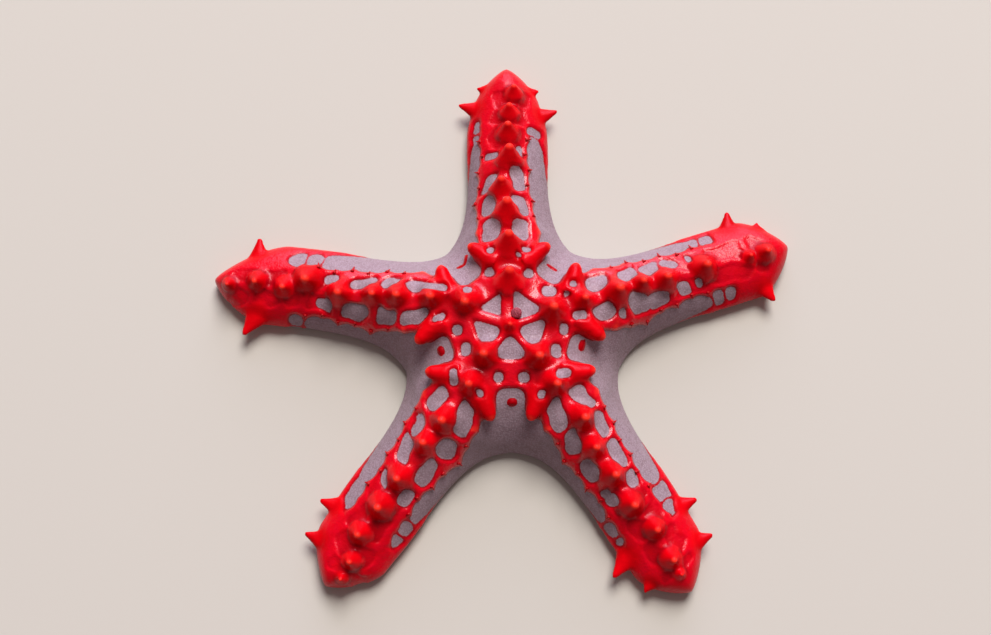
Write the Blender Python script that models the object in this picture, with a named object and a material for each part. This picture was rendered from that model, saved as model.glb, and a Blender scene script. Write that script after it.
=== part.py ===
"""Red-knobbed sea star, life size: a disc, five arms, the mouth and the sieve plate.

The body is one skin-covered shell of plates. Its upper side is a low dome that runs out into five
ridged arms, and its underside is flat, with a furrow along each arm. It is modelled whole, with its
knobs, and then parted by thin cuts into the disc and the arms.

Sizes are in millimetres and are turned to metres when a mesh is made. An arm has its own
coordinates: s runs out from the mouth along the arm, t across it, to the left as seen from the mouth.
"""

import math

import bmesh
import bpy
from mathutils import Matrix, Vector
from mathutils.bvhtree import BVHTree

MM = 0.001
GAP = 0.3

# The mouth stands a little off the middle of the footprint, because the arms differ in length.
MOUTH_X = 2.9
MOUTH_Y = -6.3

DISC_HEIGHT = 27.0
RIM_HEIGHT = 4.5
SHOULDER = 44.0
AXIL_FLARE = 9.4
SOLE_INSET = 2.0

FURROW_HALF = 4.2
FURROW_FLOOR_HALF = 2.4
FURROW_DEPTH = 3.4
MOUTH_PIT_RADIUS = 6.6
MOUTH_PIT_DEPTH = 4.4

RING_COUNT = 6
ROW_COUNT = 14
HALF_COLUMNS = 6

JAWS_RADIUS = 5.6
JAWS_HEIGHT = 2.8

SIEVE_X = 2.4
SIEVE_Y = 4.9
SIEVE_RADIUS = 2.1
SIEVE_HEIGHT = 1.1

KNOB_SIDES = 7
KNOB_RADIUS = 5.8
KNOB_HEIGHT = 8.2
MIDDLE_KNOB_RADIUS = 3.2
MIDDLE_KNOB_HEIGHT = 4.6
FINGER_ROOT = (27.0, 7.0)
FINGER_TIP = (32.5, 15.8)
FINGER_RADIUS = 4.6
FINGER_SINK = 2.4
FINGER_RISE = 1.6
HORN_INSET = 4.2
HORN_LIFT = 1.4
HORN_AIM = (1.0, 0.28, 0.14)
HORN_FLATNESS = 0.62

SLAB_WIDTH = 60.0
SLAB_HEIGHT = 50.0
SLAB_MIDDLE = 15.0

# Each arm: its bearing and how far its tip swings off it, its length and half width, how much it tapers,
# the length of its wedge-shaped nose, where the cut lies, how its knobs lean outward and to the left, the
# tops of its ridge knobs as (s, t, size) and its horns as (s, side, length). The first two knobs of each
# arm stand on the disc.
ARMS = {
    "arm_back": {
        "bearing": 90.5, "swing": 0.0, "length": 111.5, "half": 16.4, "taper": 0.27, "nose": 14.0,
        "cut": 42.6, "lean": (0.5, 0.0),
        "knobs": ((21.0, 0, 1.0), (35.8, 0, 1.0), (49.4, 0.5, 1.05), (59, 2.6, 0.85), (72.6, -0.6, 0.95),
                  (83, -0.2, 0.8), (91.5, -0.8, 0.7), (100, -2.8, 0.65)),
        "horns": ((94, 1, 6), (91, -1, 6), (102.3, 1, 2.2), (101, -1, 2.3)),
    },
    "arm_right": {
        "bearing": 18.8, "swing": -1.2, "length": 116.5, "half": 16.0, "taper": 0.0, "nose": 17.0,
        "cut": 37.4, "lean": (0.1, 0.0),
        "knobs": ((17.6, 0.6, 1.0), (30.3, 0.6, 0.8), (44, 0.1, 1.05), (54, 0.5, 0.8), (63.5, -0.6, 0.9),
                  (80, -0.6, 0.95), (98.6, -1.6, 0.5), (105.4, -2, 0.7)),
        "horns": ((97, 1, 4.9), (102, -1, 4.6), (107.5, 1, 1.4)),
    },
    "arm_front_right": {
        "bearing": -52.5, "swing": -5.2, "length": 119.0, "half": 16.4, "taper": 0.06, "nose": 17.0,
        "cut": 37.2, "lean": (0.24, 0.0),
        "knobs": ((16.8, 1.1, 1.0), (28.9, 0.1, 0.95), (44.9, 0.8, 1.0), (55.9, -2.4, 0.85),
                  (68.1, -2.8, 0.95), (81, -4, 0.9), (93.1, -2.6, 0.75), (105.4, -4.6, 0.75),
                  (111.3, -5.2, 0.4)),
        "horns": ((92, 1, 5.2), (106, 1, 4.7), (95, -1, 7.2), (107.5, -1, 2.6)),
    },
    "arm_front_left": {
        "bearing": -126.5, "swing": 1.0, "length": 118.0, "half": 16.4, "taper": 0.06, "nose": 17.0,
        "cut": 37.0, "lean": (0.24, 0.0),
        "knobs": ((15.6, -0.9, 1.0), (27.7, 1.2, 0.9), (44.3, 1.1, 1.0), (54.8, 0.2, 0.9), (71, 0.2, 0.9),
                  (83.6, 0.8, 0.95), (95.8, 0.6, 0.8), (105.4, 4, 0.68), (112.3, 4.8, 0.45)),
        "horns": ((92.5, -1, 5.3), (105.8, -1, 4.8)),
    },
    "arm_left": {
        "bearing": 163.4, "swing": 11.2, "length": 118.0, "half": 16.6, "taper": 0.0, "nose": 24.0,
        "cut": 38.2, "lean": (0.0, 0.25),
        "knobs": ((18.5, -2.6, 1.0), (31.7, -1.3, 1.0), (44.4, 1.3, 0.95), (53.7, 3, 0.85), (66.5, 6, 0.95),
                  (80.4, 4.2, 1.05), (88.4, 9, 0.75), (99.8, 9.6, 0.7), (110.3, 13.2, 0.5)),
        "horns": ((104.5, -1, 5.8), (97.8, 1, 7.1)),
    },
}
# How far from the mouth the rim lies between one arm and the next, going round to the left.
AXILS = {
    ("arm_right", "arm_back"): 43.2,
    ("arm_front_right", "arm_right"): 45.4,
    ("arm_front_left", "arm_front_right"): 45.8,
    ("arm_left", "arm_front_left"): 43.2,
    ("arm_back", "arm_left"): 42.6,
}
SWING_START = 45.0
TAPER_START = 82.0
TAPER_LENGTH = 22.0


def smooth(x):
    """Rises from 0 to 1 with level ends as x goes from 0 to 1."""
    x = min(max(x, 0.0), 1.0)
    return x * x * (3.0 - 2.0 * x)


def ridge_height(r):
    """Height of the crest of an arm, r from the mouth."""
    return 9.5 + (DISC_HEIGHT - 9.5) * math.exp(-((r / 78.0) ** 2.0))


def bay_height(r, axil):
    """Height of the skin between two arms, which drops to the rim at the axil."""
    x = min(r / axil, 1.0)
    return RIM_HEIGHT + (DISC_HEIGHT - RIM_HEIGHT) * (1.0 - x**2.6) ** 0.8


def axil_beside(name, side):
    """Where the axil on this side of the arm lies, as (s, t without its sign)."""
    for (right, left), axil in AXILS.items():
        if name == (right if side > 0 else left):
            half_turn = math.radians((ARMS[left]["bearing"] - ARMS[right]["bearing"]) % 360.0) / 2.0
            return axil * math.cos(half_turn), axil * math.sin(half_turn)


def swing(arm, s):
    """How far the arm's middle line has swung to the left at s."""
    x = max(s - SWING_START, 0.0) / (arm["length"] - SWING_START)
    return arm["swing"] * x**1.5


def world(arm, s, t, z):
    """A point of the arm's own coordinates in the part's frame."""
    bearing = math.radians(arm["bearing"])
    across = t + swing(arm, s)
    x = MOUTH_X + s * math.cos(bearing) - across * math.sin(bearing)
    y = MOUTH_Y + s * math.sin(bearing) + across * math.cos(bearing)
    return Vector((x, y, z)) * MM


def half_width(arm, s, axil_s, axil_t):
    """Half the arm's width: wide at the axil, nearly even along the arm, closing to the nose."""
    half = arm["half"] * (1.0 - arm["taper"] * smooth((s - TAPER_START) / TAPER_LENGTH))
    flare = (axil_t - arm["half"]) * math.exp(-(s - axil_s) / AXIL_FLARE)
    x = min(max(1.0 - (arm["length"] - s) / arm["nose"], 0.0), 1.0)
    return (half + flare) * (1.0 - x**1.5) ** 0.8


def across_profile(u, s):
    """Share of the height left at u of the half width: a broad wave on the disc, a full arch on an arm."""
    wave = 1.0 - smooth(abs(u) ** 1.6)
    arch = (1.0 - u * u) ** 0.72
    mix = 1.0 - math.exp(-max(s - SHOULDER, 0.0) / 9.0)
    return wave + (arch - wave) * mix


def station(name, v, u):
    """(s, t, upper height) for row v and column u. v is 0 at the mouth, 1 at the shoulder, 2 at the tip."""
    arm = ARMS[name]
    axil_s, axil_t = axil_beside(name, 1 if u > 0 else -1)
    if v <= 1.0:
        axil = math.hypot(axil_s, axil_t)
        s = v * (SHOULDER - (SHOULDER - axil_s) * u * u)
        t = v * axil_t * u
        low, crest = bay_height(v * axil, axil), ridge_height(v * SHOULDER)
        return s, t, low + (crest - low) * across_profile(u, 0.0)
    middle = SHOULDER + (arm["length"] - SHOULDER) * (v - 1.0)
    sag = (SHOULDER - axil_s) * math.exp(-(middle - SHOULDER) / 14.0)
    edge = middle - sag
    t = half_width(arm, edge, axil_s, axil_t) * u
    nose = min(max(1.0 - (arm["length"] - middle) / 11.0, 0.0), 1.0)
    crest = RIM_HEIGHT + (ridge_height(middle) - RIM_HEIGHT) * (1.0 - nose**2.5) ** 0.6
    return middle - sag * u * u, t, RIM_HEIGHT + (crest - RIM_HEIGHT) * across_profile(u, middle)


def row_positions():
    """Row values from the innermost ring to the nose, closer together where the arm closes."""
    rings = [(k + 1) / RING_COUNT for k in range(RING_COUNT)]
    rows = [1.0 + math.sin(0.5 * math.pi * (k + 1) / ROW_COUNT) ** 1.25 * 0.997 for k in range(ROW_COUNT)]
    return rings + rows


def underside(name, v):
    """The points of one row of the underside, from the right rim's foot to the left one's."""
    arm = ARMS[name]
    points = []
    for side in (-1, 1):
        s, t, _ = station(name, v, side)
        shrink = max(1.0 - SOLE_INSET / max(math.hypot(s, t), 1.0), 0.5) if v <= 1.0 else 1.0
        foot_t = t * shrink if v <= 1.0 else side * max(abs(t) - SOLE_INSET, abs(t) * 0.6)
        crest_s = station(name, v, 0.0)[0]
        close = smooth((arm["length"] - crest_s) / 9.0 - 0.6)
        pit = 1.0 - smooth((crest_s - MOUTH_PIT_RADIUS) / 2.0)
        lip = min(FURROW_HALF * close, abs(foot_t) * 0.72)
        floor = min(FURROW_FLOOR_HALF * close, lip * 0.6)
        depth = FURROW_DEPTH * close + (MOUTH_PIT_DEPTH - FURROW_DEPTH) * pit
        row = [(s * shrink, foot_t, MOUTH_PIT_DEPTH * pit), (crest_s, side * lip, MOUTH_PIT_DEPTH * pit),
               (crest_s, side * floor, depth)]
        points = row + points if side < 0 else points + row[::-1]
    return points


def build_body():
    """The whole body as one closed mesh, without its knobs."""
    mesh = bmesh.new()
    columns = [k / HALF_COLUMNS for k in range(-HALF_COLUMNS, HALF_COLUMNS + 1)]
    columns = [math.copysign(abs(u) ** 0.8, u) for u in columns]
    crown = mesh.verts.new(Vector((MOUTH_X, MOUTH_Y, DISC_HEIGHT)) * MM)
    roof = mesh.verts.new(Vector((MOUTH_X, MOUTH_Y, MOUTH_PIT_DEPTH)) * MM)
    for name, arm in ARMS.items():
        upper, lower = [], []
        for v in row_positions():
            tops = [station(name, v, u) for u in columns]
            upper.append([mesh.verts.new(world(arm, *top)) for top in tops])
            lower.append([mesh.verts.new(world(arm, *foot)) for foot in underside(name, v)])
        for sheet, pole, turn in ((upper, crown, 1), (lower, roof, -1)):
            for a, b in zip(sheet[0], sheet[0][1:]):
                mesh.faces.new((pole, a, b)[::turn])
            for inner, outer in zip(sheet, sheet[1:]):
                for k in range(len(inner) - 1):
                    mesh.faces.new((inner[k], outer[k], outer[k + 1], inner[k + 1])[::turn])
        for k in range(RING_COUNT - 1, len(upper) - 1):
            mesh.faces.new((lower[k][0], lower[k + 1][0], upper[k + 1][0], upper[k][0]))
            mesh.faces.new((upper[k][-1], upper[k + 1][-1], lower[k + 1][-1], lower[k][-1]))
        nose = mesh.verts.new(world(arm, arm["length"], 0.0, RIM_HEIGHT))
        rim = upper[-1] + lower[-1][::-1]
        for a, b in zip(rim, rim[1:] + rim[:1]):
            mesh.faces.new((a, nose, b))
    bmesh.ops.remove_doubles(mesh, verts=mesh.verts, dist=0.02 * MM)
    bmesh.ops.triangulate(mesh, faces=[f for f in mesh.faces if len(f.verts) > 3])
    bmesh.ops.recalc_face_normals(mesh, faces=mesh.faces)
    return mesh


def add_turned(mesh, profile, foot, direction, flatness=1.0):
    """Adds a closed shape: profile is (radius, height) along direction. flatness presses it level."""
    level = Vector((0, 0, 1)).cross(direction)
    level = level.normalized() if level.length > 0.01 else Vector((1, 0, 0))
    upright = direction.cross(level) * flatness
    place = Matrix.Translation(foot) @ Matrix((level, upright, direction)).transposed().to_4x4()
    rings = []
    for radius, height in profile:
        angles = [2.0 * math.pi * k / KNOB_SIDES for k in range(KNOB_SIDES)]
        ring = [Vector((radius * math.cos(a), radius * math.sin(a), height)) * MM for a in angles]
        rings.append([mesh.verts.new(place @ point) for point in ring])
    tip = mesh.verts.new(place @ (Vector((0, 0, profile[-1][1] + profile[-1][0] * 0.6)) * MM))
    mesh.faces.new(rings[0][::-1])
    for low, high in zip(rings, rings[1:]):
        for k in range(KNOB_SIDES):
            after = (k + 1) % KNOB_SIDES
            mesh.faces.new((low[k], low[after], high[after], high[k]))
    for k in range(KNOB_SIDES):
        mesh.faces.new((rings[-1][k], rings[-1][(k + 1) % KNOB_SIDES], tip))


def knob_profile(radius, height):
    """A knob with a spread foot below the skin, hollow flanks and a blunt top."""
    return ((radius * 1.12, -1.6), (radius * 0.58, height * 0.36), (radius * 0.25, height * 0.9))


def finger_profile(radius, length):
    """A finger: broad at its root, with a blunt end."""
    return ((radius * 1.1, -2.0), (radius * 0.72, length * 0.5), (radius * 0.36, length * 0.92))


def horn_profile(length, inset):
    """A horn with a broad root inside the rim, hollow flanks and a narrow round point."""
    radius, whole = 3.0 + 0.45 * length, length + inset
    rings = ((1.0, 0.0), (0.55, 0.4), (0.3, 0.72), (0.17, 0.93))
    return tuple((radius * share, whole * height) for share, height in rings)


def build_knobs(body):
    """All knobs, fingers and horns as closed shapes, set on the body's surface."""
    surface = BVHTree.FromBMesh(body)
    mesh = bmesh.new()

    up = Vector((0, 0, 1))

    def drop(place):
        """The point of the body's upper side straight below this one."""
        return surface.ray_cast(Vector((place.x, place.y, 2.0 * DISC_HEIGHT * MM)), -up)[0]

    middle = world(ARMS["arm_back"], 0.0, 0.0, DISC_HEIGHT - 0.4)
    add_turned(mesh, knob_profile(MIDDLE_KNOB_RADIUS, MIDDLE_KNOB_HEIGHT), middle, up)
    for name, arm in ARMS.items():
        bearing = math.radians(arm["bearing"])
        outward = Vector((math.cos(bearing), math.sin(bearing), 0))
        across = up.cross(outward)
        aim = (up + outward * arm["lean"][0] + across * arm["lean"][1]).normalized()
        for s, t, size in arm["knobs"]:
            top = world(arm, s, t - swing(arm, s), 0.0)
            foot = drop(top - aim * KNOB_HEIGHT * size * MM)
            add_turned(mesh, knob_profile(KNOB_RADIUS * size, KNOB_HEIGHT * size), foot, aim)
        for side in (-1, 1):
            root = drop(world(arm, FINGER_ROOT[0], side * FINGER_ROOT[1], 0.0)) - up * FINGER_SINK * MM
            tip = world(arm, FINGER_TIP[0], side * FINGER_TIP[1], 0.0)
            tip.z = root.z + FINGER_RISE * MM
            reach = tip - root
            add_turned(mesh, finger_profile(FINGER_RADIUS, reach.length / MM), root, reach.normalized())
        for s, side, length in arm["horns"]:
            edge = half_width(arm, s, *axil_beside(name, side))
            aim = (across * side * HORN_AIM[0] + outward * HORN_AIM[1] + up * HORN_AIM[2]).normalized()
            inset = min(HORN_INSET, 1.2 + 0.5 * length)
            foot = world(arm, s, side * edge, RIM_HEIGHT + HORN_LIFT) - aim * inset * MM
            add_turned(mesh, horn_profile(length, inset), foot, aim, HORN_FLATNESS)
    bmesh.ops.recalc_face_normals(mesh, faces=mesh.faces)
    return mesh


def to_object(mesh, name, collection):
    """Turns a bmesh into an object of the scene."""
    data = bpy.data.meshes.new(name)
    mesh.to_mesh(data)
    mesh.free()
    thing = bpy.data.objects.new(name, data)
    collection.objects.link(thing)
    return thing


def cut_slabs():
    """Thin slabs that part the arms from the disc, each square to its arm's middle line."""
    mesh = bmesh.new()
    for arm in ARMS.values():
        bearing = math.radians(arm["bearing"])
        middle = Matrix.Translation(world(arm, arm["cut"], 0.0, SLAB_MIDDLE))
        place = middle @ Matrix.Rotation(bearing, 4, "Z")
        size = Matrix.Diagonal(Vector((GAP * MM, SLAB_WIDTH * MM, SLAB_HEIGHT * MM, 1.0)))
        bmesh.ops.create_cube(mesh, size=1.0, matrix=place @ size)
    return mesh


def build_mouth():
    """The ring of five jaws, which meet at the mouth, level with the underside."""
    mesh = bmesh.new()
    bmesh.ops.create_cone(mesh, cap_ends=True, segments=10, radius1=JAWS_RADIUS * MM,
                          radius2=(JAWS_RADIUS - 1.0) * MM, depth=JAWS_HEIGHT * MM,
                          matrix=Matrix.Translation(Vector((0, 0, JAWS_HEIGHT / 2 * MM))))
    return mesh


def build_sieve_plate():
    """The madreporite: a small crowned button between the middle knob and two of the large ones."""
    mesh = bmesh.new()
    bmesh.ops.create_cone(mesh, cap_ends=True, segments=14, radius1=SIEVE_RADIUS * MM,
                          radius2=SIEVE_RADIUS * 0.7 * MM, depth=SIEVE_HEIGHT * MM)
    return mesh


def finished_with(helper, target, operation):
    """Joins target's mesh with the helper's, or cuts it by it. The helper stays as a hidden wire shape."""
    step = target.modifiers.new(operation.title(), "BOOLEAN")
    step.operation = operation
    step.solver = "EXACT"
    step.use_self = operation == "UNION"
    step.object = helper
    graph = bpy.context.evaluated_depsgraph_get()
    target.data = bpy.data.meshes.new_from_object(target.evaluated_get(graph))
    target.modifiers.clear()


def loose_pieces(data):
    """Splits a mesh into its separate closed bodies, each as a bmesh."""
    whole = bmesh.new()
    whole.from_mesh(data)
    left = set(whole.verts)
    while left:
        piece, edge = set(), [left.pop()]
        while edge:
            vert = edge.pop()
            piece.add(vert)
            for neighbour in (link.other_vert(vert) for link in vert.link_edges):
                if neighbour in left:
                    left.remove(neighbour)
                    edge.append(neighbour)
        body = whole.copy()
        keep = {vert.index for vert in piece}
        body.verts.ensure_lookup_table()
        bmesh.ops.delete(body, geom=[vert for vert in body.verts if vert.index not in keep], context="VERTS")
        yield body
    whole.free()


def nearest_name(mesh):
    """The arm whose middle lies nearest to this piece, or the disc."""
    middle = sum((vert.co for vert in mesh.verts), Vector()) / len(mesh.verts)
    places = {name: world(arm, (arm["cut"] + arm["length"]) / 2, 0.0, 0.0) for name, arm in ARMS.items()}
    places["disc"] = world(ARMS["arm_back"], 0.0, 0.0, 0.0)
    return min(places, key=lambda name: (places[name] - middle).length)


def material(name, colour, roughness):
    """A plain finish for one kind of surface."""
    finish = bpy.data.materials.new(name)
    finish.use_nodes = True
    shader = finish.node_tree.nodes["Principled BSDF"]
    shader.inputs["Base Color"].default_value = (*colour, 1.0)
    shader.inputs["Roughness"].default_value = roughness
    shader.inputs["Metallic"].default_value = 0.0
    return finish


def new_collection(name):
    group = bpy.data.collections.new(name)
    bpy.context.scene.collection.children.link(group)
    return group


def build():
    for old in list(bpy.data.objects):
        bpy.data.objects.remove(old)
    star = new_collection("sea_star")
    cutters = new_collection("cutters")

    body_mesh = build_body()
    knob_mesh = build_knobs(body_mesh)
    body = to_object(body_mesh, "body", star)
    knobs = to_object(knob_mesh, "knob_shapes", cutters)
    slabs = to_object(cut_slabs(), "cut_slabs", cutters)
    for helper in (knobs, slabs):
        helper.hide_render = True
        helper.display_type = "WIRE"
    bpy.context.view_layer.update()
    finished_with(knobs, body, "UNION")
    finished_with(slabs, body, "DIFFERENCE")

    skin = material("wet_red_skin", (0.62, 0.01, 0.015), 0.3)
    for piece in loose_pieces(body.data):
        node = to_object(piece, nearest_name(piece), star)
        node.data.materials.clear()
        node.data.materials.append(skin)
    bpy.data.objects.remove(body)

    mouth = to_object(build_mouth(), "mouth", star)
    mouth.location = Vector((MOUTH_X, MOUTH_Y, 0.0)) * MM
    mouth.data.materials.append(material("pale_jaws", (0.55, 0.38, 0.3), 0.5))
    sieve = to_object(build_sieve_plate(), "sieve_plate", star)
    sieve_z = DISC_HEIGHT + GAP + SIEVE_HEIGHT / 2
    sieve.location = Vector((MOUTH_X + SIEVE_X, MOUTH_Y + SIEVE_Y, sieve_z)) * MM
    sieve.data.materials.append(material("dark_sieve_plate", (0.2, 0.02, 0.03), 0.5))


build()
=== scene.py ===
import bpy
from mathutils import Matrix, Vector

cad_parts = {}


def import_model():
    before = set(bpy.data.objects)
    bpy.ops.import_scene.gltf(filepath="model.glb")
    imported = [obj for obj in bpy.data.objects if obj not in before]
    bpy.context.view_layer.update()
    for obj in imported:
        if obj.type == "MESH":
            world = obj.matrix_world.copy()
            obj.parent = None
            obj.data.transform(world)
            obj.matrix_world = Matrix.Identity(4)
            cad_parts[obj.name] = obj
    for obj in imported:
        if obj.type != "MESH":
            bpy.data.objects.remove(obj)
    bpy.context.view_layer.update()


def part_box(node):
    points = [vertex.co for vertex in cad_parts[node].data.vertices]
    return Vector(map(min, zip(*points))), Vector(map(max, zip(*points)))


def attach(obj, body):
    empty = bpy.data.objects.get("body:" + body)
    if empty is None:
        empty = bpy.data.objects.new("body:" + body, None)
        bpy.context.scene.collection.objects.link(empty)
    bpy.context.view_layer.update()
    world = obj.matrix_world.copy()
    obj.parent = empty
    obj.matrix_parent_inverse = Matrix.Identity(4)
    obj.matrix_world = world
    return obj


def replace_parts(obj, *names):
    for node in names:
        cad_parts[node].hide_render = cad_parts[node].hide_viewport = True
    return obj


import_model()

import math

import bmesh
import bpy
import numpy as np
from mathutils import Matrix, Vector
from mathutils.bvhtree import BVHTree

# ------------------------------------------------------------
# The body. A sea star's skin is stretched over a shell of chalk plates: a low dome that runs out into
# five ridged arms, flat below, with a furrow along each arm. It is swept from the mouth outward in one
# piece, in millimetres. s runs out along an arm, t across it to the left, as seen from the mouth.

MM = 0.001
mouth_low, mouth_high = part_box("mouth")
mouth = (mouth_low + mouth_high) / 2 / MM
mouth.z = 0.0
disc_height, crest_low, crest_reach = 27.0, 9.5, 78.0
rim_height, sole_inset = 4.5, 2.0
# How far out the dome gives way to the arms, where the arms begin to swing and to narrow, and over what
# length they narrow.
shoulder, swing_start, taper_start, taper_run = 44.0, 45.0, 82.0, 22.0
# How soon the web between two arms runs out along them, and how far from its end a crest bends down.
flare_run, blend_run, sag_run, crest_end = 9.4, 9.0, 14.0, 11.0
# The furrow with its narrow floor and its closing end, and the pit that holds the jaws.
furrow_half, furrow_floor_half, furrow_depth, furrow_end = 4.2, 2.4, 3.4, 9.0
pit_radius, pit_depth = 6.6, 4.4

# Each arm: its bearing, how far its tip swings, its length, half width, taper and blunt nose.
arms = {
    "arm_back": dict(bearing=90.5, swing=0.0, length=111.5, half=16.4, taper=0.27, nose=14.0),
    "arm_right": dict(bearing=18.8, swing=-1.2, length=116.5, half=16.0, taper=0.0, nose=17.0),
    "arm_front_right": dict(bearing=-52.5, swing=-5.2, length=119.0, half=16.4, taper=0.06, nose=17.0),
    "arm_front_left": dict(bearing=-126.5, swing=1.0, length=118.0, half=16.4, taper=0.06, nose=17.0),
    "arm_left": dict(bearing=163.4, swing=11.2, length=118.0, half=16.6, taper=0.0, nose=24.0),
}
# How far from the mouth the rim lies between one arm and the next, going round to the left.
axils = {
    ("arm_right", "arm_back"): 43.2,
    ("arm_front_right", "arm_right"): 45.4,
    ("arm_front_left", "arm_front_right"): 45.8,
    ("arm_left", "arm_front_left"): 43.2,
    ("arm_back", "arm_left"): 42.6,
}


def smooth(x):
    """An even step from 0 to 1 as x goes from 0 to 1."""
    x = np.clip(x, 0.0, 1.0)
    return x * x * (3.0 - 2.0 * x)


def ridge_height(r):
    """The height of the crests at this distance from the mouth."""
    return crest_low + (disc_height - crest_low) * np.exp(-((r / crest_reach) ** 2))


def bay_height(r, axil):
    """The height between two arms, where the rim lies at axil."""
    x = np.clip(r / axil, 0.0, 1.0)
    return rim_height + (disc_height - rim_height) * (1.0 - x**2.6) ** 0.8


def half_turn_beside(name, side):
    """Half the angle to the next arm on this side, and the axil's distance from the mouth."""
    for (right, left), axil in axils.items():
        if name == (right if side > 0 else left):
            return math.radians((arms[left]["bearing"] - arms[right]["bearing"]) % 360.0) / 2.0, axil


def axil_beside(name, side):
    """The axil on this side of the arm, along the arm and across it."""
    half_turn, axil = half_turn_beside(name, side)
    return axil * math.cos(half_turn), axil * math.sin(half_turn)


def swing(arm, s):
    """How far the arm has bent to the left at s."""
    x = np.clip(s - swing_start, 0.0, None) / (arm["length"] - swing_start)
    return arm["swing"] * x**1.5


def ways(degrees):
    """The level directions out along this bearing and to its left."""
    angle = math.radians(degrees)
    return Vector((math.cos(angle), math.sin(angle), 0)), Vector((-math.sin(angle), math.cos(angle), 0))


def world(arm, s, t, z):
    """The place, in millimetres, at s along the arm, t across it and z up."""
    bearing = math.radians(arm["bearing"])
    across = t + swing(arm, s)
    return Vector((mouth.x + s * math.cos(bearing) - across * math.sin(bearing),
                   mouth.y + s * math.sin(bearing) + across * math.cos(bearing), z))


def half_width(arm, s, axil_s, axil_t):
    """How far the rim lies from the middle of the arm at s: wide at the axil, round at the tip."""
    flare = (axil_t - arm["half"]) * np.exp(-(s - axil_s) / flare_run)
    taper = 1.0 - arm["taper"] * smooth((s - taper_start) / taper_run)
    x = np.clip(1.0 - (arm["length"] - s) / arm["nose"], 0.0, 1.0)
    return (arm["half"] * taper + flare) * (1.0 - x**1.5) ** 0.8


def across_profile(u, s):
    """Height across an arm, 1 on its crest and 0 at its rims: a wave on the disc, an arch further out."""
    wave = 1.0 - smooth(abs(u) ** 1.6)
    arch = (1.0 - u * u) ** 0.72
    return wave + (arch - wave) * (1.0 - math.exp(-max(s - shoulder, 0.0) / blend_run))


def station(name, v, u):
    """(s, t, height) of the upper side: v is 0 at the mouth, 1 at the shoulder and 2 at the tip."""
    arm = arms[name]
    axil_s, axil_t = axil_beside(name, 1 if u > 0 else -1)
    if v <= 1.0:
        s = v * (shoulder - (shoulder - axil_s) * u * u)
        low = bay_height(v * math.hypot(axil_s, axil_t), math.hypot(axil_s, axil_t))
        return s, v * axil_t * u, low + (ridge_height(v * shoulder) - low) * across_profile(u, 0.0)
    middle = shoulder + (arm["length"] - shoulder) * (v - 1.0)
    sag = (shoulder - axil_s) * math.exp(-(middle - shoulder) / sag_run)
    t = half_width(arm, middle - sag, axil_s, axil_t) * u
    nose = np.clip(1.0 - (arm["length"] - middle) / crest_end, 0.0, 1.0)
    crest = (ridge_height(middle) - rim_height) * (1.0 - nose**2.5) ** 0.6
    return middle - sag * u * u, t, rim_height + crest * across_profile(u, middle)


def underside(name, v):
    """One row of the underside, from the right foot of the rim over the furrow to the left one."""
    arm = arms[name]
    points = []
    for side in (-1, 1):
        s, t, _ = station(name, v, side)
        shrink = max(1.0 - sole_inset / max(math.hypot(s, t), 1.0), 0.5) if v <= 1.0 else 1.0
        foot = t * shrink if v <= 1.0 else side * max(abs(t) - sole_inset, abs(t) * 0.6)
        crest_s = station(name, v, 0.0)[0]
        close = smooth((arm["length"] - crest_s) / furrow_end - 0.6)
        pit = 1.0 - smooth((crest_s - pit_radius) / 2.0)
        lip = min(furrow_half * close, abs(foot) * 0.72)
        floor = min(furrow_floor_half * close, lip * 0.6)
        row = [(s * shrink, foot, pit_depth * pit), (crest_s, side * lip, pit_depth * pit),
               (crest_s, side * floor, furrow_depth * close + (pit_depth - furrow_depth) * pit)]
        points = row + points if side < 0 else points + row[::-1]
    return points


def swept_body():
    """The closed body: rows of points from the mouth outward, above and below, joined at the rims."""
    half_columns, disc_rows, arm_rows = 22, 24, 56
    mesh = bmesh.new()
    columns = [math.copysign(abs(k / half_columns) ** 0.8, k) for k in range(-half_columns, half_columns + 1)]
    crown = mesh.verts.new((mouth.x, mouth.y, disc_height))
    roof = mesh.verts.new((mouth.x, mouth.y, pit_depth))
    rings = [(k + 1) / disc_rows for k in range(disc_rows)]
    steps = [math.sin(0.5 * math.pi * (k + 1) / arm_rows) for k in range(arm_rows)]
    rows = rings + [1.0 + step ** 1.25 * 0.997 for step in steps]
    for name, arm in arms.items():
        upper = [[mesh.verts.new(world(arm, *station(name, v, u))) for u in columns] for v in rows]
        lower = [[mesh.verts.new(world(arm, *foot)) for foot in underside(name, v)] for v in rows]
        for sheet, pole, turn in ((upper, crown, 1), (lower, roof, -1)):
            for a, b in zip(sheet[0], sheet[0][1:]):
                mesh.faces.new((pole, a, b)[::turn])
            for inner, outer in zip(sheet, sheet[1:]):
                for k in range(len(inner) - 1):
                    mesh.faces.new((inner[k], outer[k], outer[k + 1], inner[k + 1])[::turn])
        for k in range(len(rings) - 1, len(rows) - 1):
            mesh.faces.new((lower[k][0], lower[k + 1][0], upper[k + 1][0], upper[k][0]))
            mesh.faces.new((upper[k][-1], upper[k + 1][-1], lower[k + 1][-1], lower[k][-1]))
        nose = mesh.verts.new(world(arm, arm["length"], 0.0, rim_height))
        rim = upper[-1] + lower[-1][::-1]
        for a, b in zip(rim, rim[1:] + rim[:1]):
            mesh.faces.new((a, nose, b))
    bmesh.ops.remove_doubles(mesh, verts=mesh.verts, dist=0.02)
    bmesh.ops.recalc_face_normals(mesh, faces=mesh.faces)
    return mesh


body = swept_body()

# ------------------------------------------------------------
# Knobs, fingers and horns. Each is a solid outgrowth of one plate: blunt knobs with spread feet along
# the crests, two fingers from each arm's root towards the bays, and horns on the edge near the tip.

knob_radius, knob_height = 5.8, 8.2
middle_knob_radius, middle_knob_height, middle_knob_sink = 3.2, 4.6, 0.4
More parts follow.
